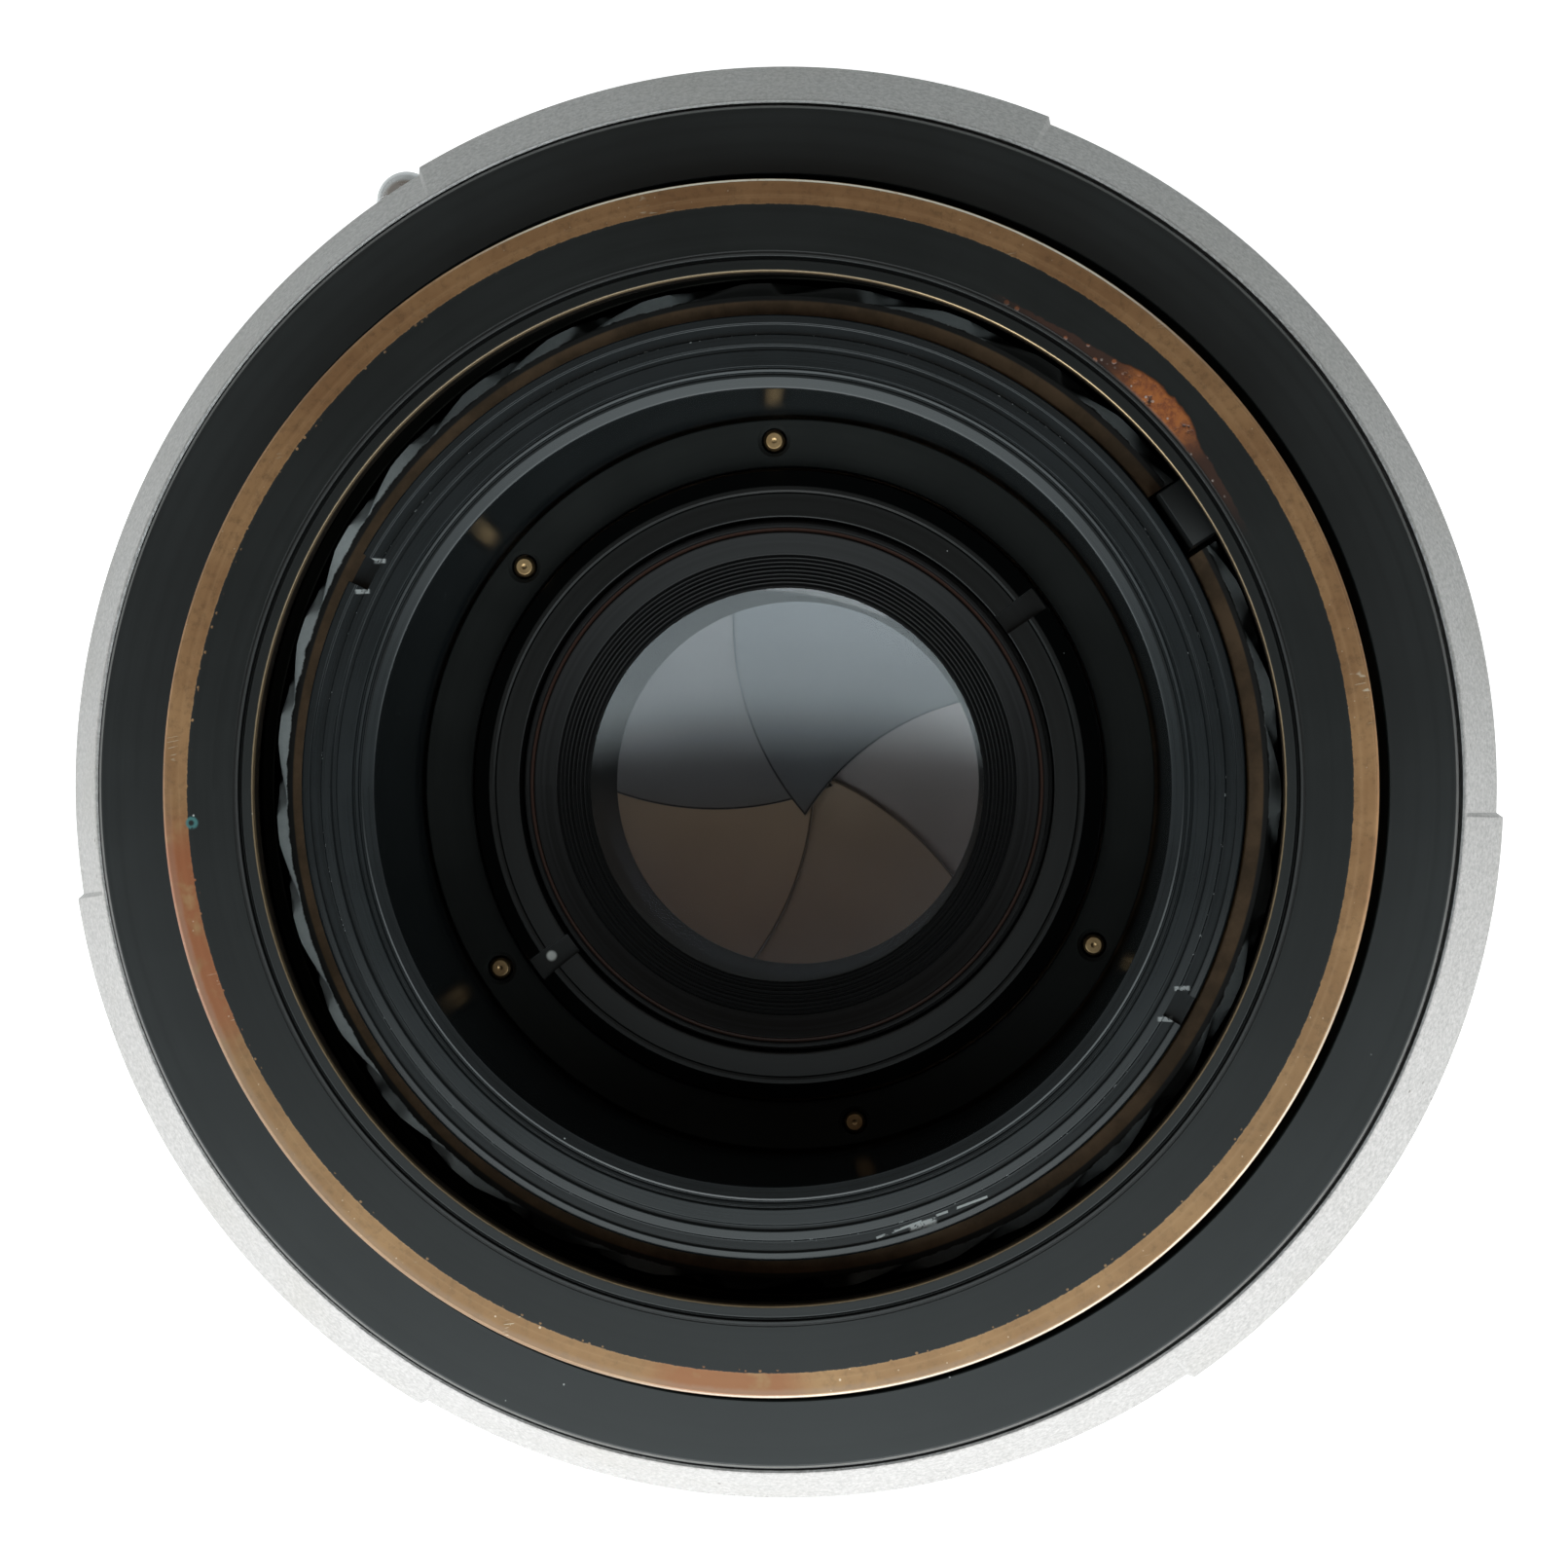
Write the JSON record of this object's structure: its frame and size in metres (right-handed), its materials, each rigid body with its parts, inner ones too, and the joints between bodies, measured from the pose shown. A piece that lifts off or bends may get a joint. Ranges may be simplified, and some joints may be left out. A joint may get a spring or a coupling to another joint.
{
  "type": "leaf-shutter portrait lens",
  "caption": "Leaf-shutter portrait lens in a helicoid focusing mount, with coated glass, iris and shutter blades, control levers and a cam ring that drives a camera's rangefinder.",
  "frame": {"origin": "centre of the front rim's plane, on the optical axis, under the middle of the bounding box", "axes": "+Z along the optical axis from the front rim to the rear, camera side; +X and +Y as right and up in the picture's rear view"},
  "size_m": [0.0798, 0.0798, 0.0685],
  "materials": {
    "satin_chrome": "sand-blasted satin chrome, worn at the edges",
    "bright_chrome": "bright chrome",
    "black_paint": "matte black paint worn to metal at the edges",
    "black_gloss": "semi-gloss black enamel",
    "brass": "bare brass with patina and scratches",
    "steel": "plain machined steel",
    "blade_steel": "blued spring steel",
    "glass": "polished, single coated"
  },
  "bodies": {
    "mount": {"mount_flange": "black_paint", "focus_retaining_ring": "black_paint", "cam_guide_pin": "steel"},
    "focus": {"focus_ring": "satin_chrome", "helicoid_nut": "brass", "focus_ring_screw_1": "steel", "focus_ring_screw_2": "steel", "focus_ring_screw_3": "steel"},
    "cam": {"rangefinder_cam_ring": "brass", "helicoid_key": "black_paint"},
    "barrel": {"helicoid_barrel": "brass", "baffle_sleeve": "black_gloss", "pin_plate": "black_paint", "plate_pin_1": "brass", "plate_pin_2": "brass", "plate_pin_3": "brass", "plate_pin_4": "brass", "plate_pin_5": "brass", "rear_cell_body": "black_paint", "rear_baffle_ring": "black_paint", "rear_element": "glass", "shutter_case": "black_paint", "mechanism_plate": "steel", "front_plate": "black_paint", "shutter_face_ring": "black_paint", "front_cell_body": "black_paint", "front_bezel_ring": "black_gloss", "front_element": "glass", "element_spacer": "black_paint", "middle_element": "glass", "cable_release_socket": "bright_chrome", "flash_socket": "bright_chrome", "flash_contact_pin": "brass"},
    "speed": {"speed_ring": "satin_chrome"},
    "aperture": {"iris_cam_ring": "steel", "aperture_pointer": "bright_chrome"},
    "iris_1": {"iris_blade_1": "blade_steel"},
    "iris_2": {"iris_blade_2": "blade_steel"},
    "iris_3": {"iris_blade_3": "blade_steel"},
    "iris_4": {"iris_blade_4": "blade_steel"},
    "iris_5": {"iris_blade_5": "blade_steel"},
    "blade_ring": {"blade_drive_ring": "steel"},
    "blade_1": {"shutter_blade_1": "blade_steel"},
    "blade_2": {"shutter_blade_2": "blade_steel"},
    "blade_3": {"shutter_blade_3": "blade_steel"},
    "blade_4": {"shutter_blade_4": "blade_steel"},
    "blade_5": {"shutter_blade_5": "blade_steel"},
    "cocking": {"cocking_ring": "steel", "cocking_knob": "bright_chrome"},
    "release": {"release_lever": "bright_chrome"},
    "sync": {"sync_lever": "bright_chrome"}
  },
  "joints": [
    {"name": "focus_turn", "type": "hinge", "parent": "mount", "child": "focus", "pos_m": [0, 0, 0], "axis": [0, 0, 1], "range_deg": [0, 150]},
    {"name": "barrel_slide", "type": "slide", "parent": "mount", "child": "barrel", "axis": [0, 0, -1], "range_m": [0, 0.008]},
    {"name": "cam_slide", "type": "slide", "parent": "mount", "child": "cam", "axis": [0, 0, -1], "range_m": [0, 0.0048]},
    {"name": "speed_turn", "type": "hinge", "parent": "barrel", "child": "speed", "pos_m": [0, 0, 0], "axis": [0, 0, 1], "range_deg": [0, 220]},
    {"name": "aperture_turn", "type": "hinge", "parent": "barrel", "child": "aperture", "pos_m": [0, 0, 0], "axis": [0, 0, 1], "range_deg": [0, 40]},
    {"name": "iris_1_turn", "type": "hinge", "parent": "barrel", "child": "iris_1", "pos_m": [0.00752, 0.0169, 0.033], "axis": [0, 0, 1], "range_deg": [0, 40]},
    {"name": "iris_2_turn", "type": "hinge", "parent": "barrel", "child": "iris_2", "pos_m": [-0.01375, 0.01238, 0.033], "axis": [0, 0, 1], "range_deg": [0, 40]},
    {"name": "iris_3_turn", "type": "hinge", "parent": "barrel", "child": "iris_3", "pos_m": [-0.01602, -0.00925, 0.033], "axis": [0, 0, 1], "range_deg": [0, 40]},
    {"name": "iris_4_turn", "type": "hinge", "parent": "barrel", "child": "iris_4", "pos_m": [0.00385, -0.0181, 0.033], "axis": [0, 0, 1], "range_deg": [0, 40]},
    {"name": "iris_5_turn", "type": "hinge", "parent": "barrel", "child": "iris_5", "pos_m": [0.0184, -0.00193, 0.033], "axis": [0, 0, 1], "range_deg": [0, 40]},
    {"name": "release_press", "type": "hinge", "parent": "barrel", "child": "release", "pos_m": [-0.02319, 0.00081, 0.0282], "axis": [0, 0, -1], "range_deg": [0, 12], "stiffness_Nm_per_rad": 0.01, "springref_deg": -5.73},
    {"name": "blade_ring_turn", "type": "hinge", "parent": "barrel", "child": "blade_ring", "pos_m": [0, 0, 0], "axis": [0, 0, -1], "range_deg": [0, 7.38], "stiffness_Nm_per_rad": 0.03, "springref_deg": -5.73},
    {"name": "blade_1_turn", "type": "hinge", "parent": "barrel", "child": "blade_1", "pos_m": [0.01602, 0.00925, 0.038], "axis": [0, 0, -1], "range_deg": [0, 46]},
    {"name": "blade_2_turn", "type": "hinge", "parent": "barrel", "child": "blade_2", "pos_m": [-0.00385, 0.0181, 0.038], "axis": [0, 0, -1], "range_deg": [0, 46]},
    {"name": "blade_3_turn", "type": "hinge", "parent": "barrel", "child": "blade_3", "pos_m": [-0.0184, 0.00193, 0.038], "axis": [0, 0, -1], "range_deg": [0, 46]},
    {"name": "blade_4_turn", "type": "hinge", "parent": "barrel", "child": "blade_4", "pos_m": [-0.00752, -0.0169, 0.038], "axis": [0, 0, -1], "range_deg": [0, 46]},
    {"name": "blade_5_turn", "type": "hinge", "parent": "barrel", "child": "blade_5", "pos_m": [0.01375, -0.01238, 0.038], "axis": [0, 0, -1], "range_deg": [0, 46]},
    {"name": "cocking_turn", "type": "hinge", "parent": "barrel", "child": "cocking", "pos_m": [0, 0, 0], "axis": [0, 0, -1], "range_deg": [0, 50], "stiffness_Nm_per_rad": 0.01, "springref_deg": -22.92},
    {"name": "sync_turn", "type": "hinge", "parent": "barrel", "child": "sync", "pos_m": [0.02151, -0.00869, 0.0282], "axis": [0, 0, 1], "range_deg": [0, 20], "stiffness_Nm_per_rad": 0.01, "springref_deg": -5.73}
  ],
  "couplings": [
    {"joint": "barrel_slide", "follows": "focus_turn", "m_per_rad": 0.0030558},
    {"joint": "cam_slide", "follows": "focus_turn", "m_per_rad": 0.0018335},
    {"joint": "iris_1_turn", "follows": "aperture_turn", "ratio": 1},
    {"joint": "iris_2_turn", "follows": "aperture_turn", "ratio": 1},
    {"joint": "iris_3_turn", "follows": "aperture_turn", "ratio": 1},
    {"joint": "iris_4_turn", "follows": "aperture_turn", "ratio": 1},
    {"joint": "iris_5_turn", "follows": "aperture_turn", "ratio": 1},
    {"joint": "release_press", "follows": "blade_ring_turn", "ratio": 1.6264},
    {"joint": "blade_1_turn", "follows": "blade_ring_turn", "ratio": 6.2348},
    {"joint": "blade_2_turn", "follows": "blade_ring_turn", "ratio": 6.2348},
    {"joint": "blade_3_turn", "follows": "blade_ring_turn", "ratio": 6.2348},
    {"joint": "blade_4_turn", "follows": "blade_ring_turn", "ratio": 6.2348},
    {"joint": "blade_5_turn", "follows": "blade_ring_turn", "ratio": 6.2348}
  ]
}
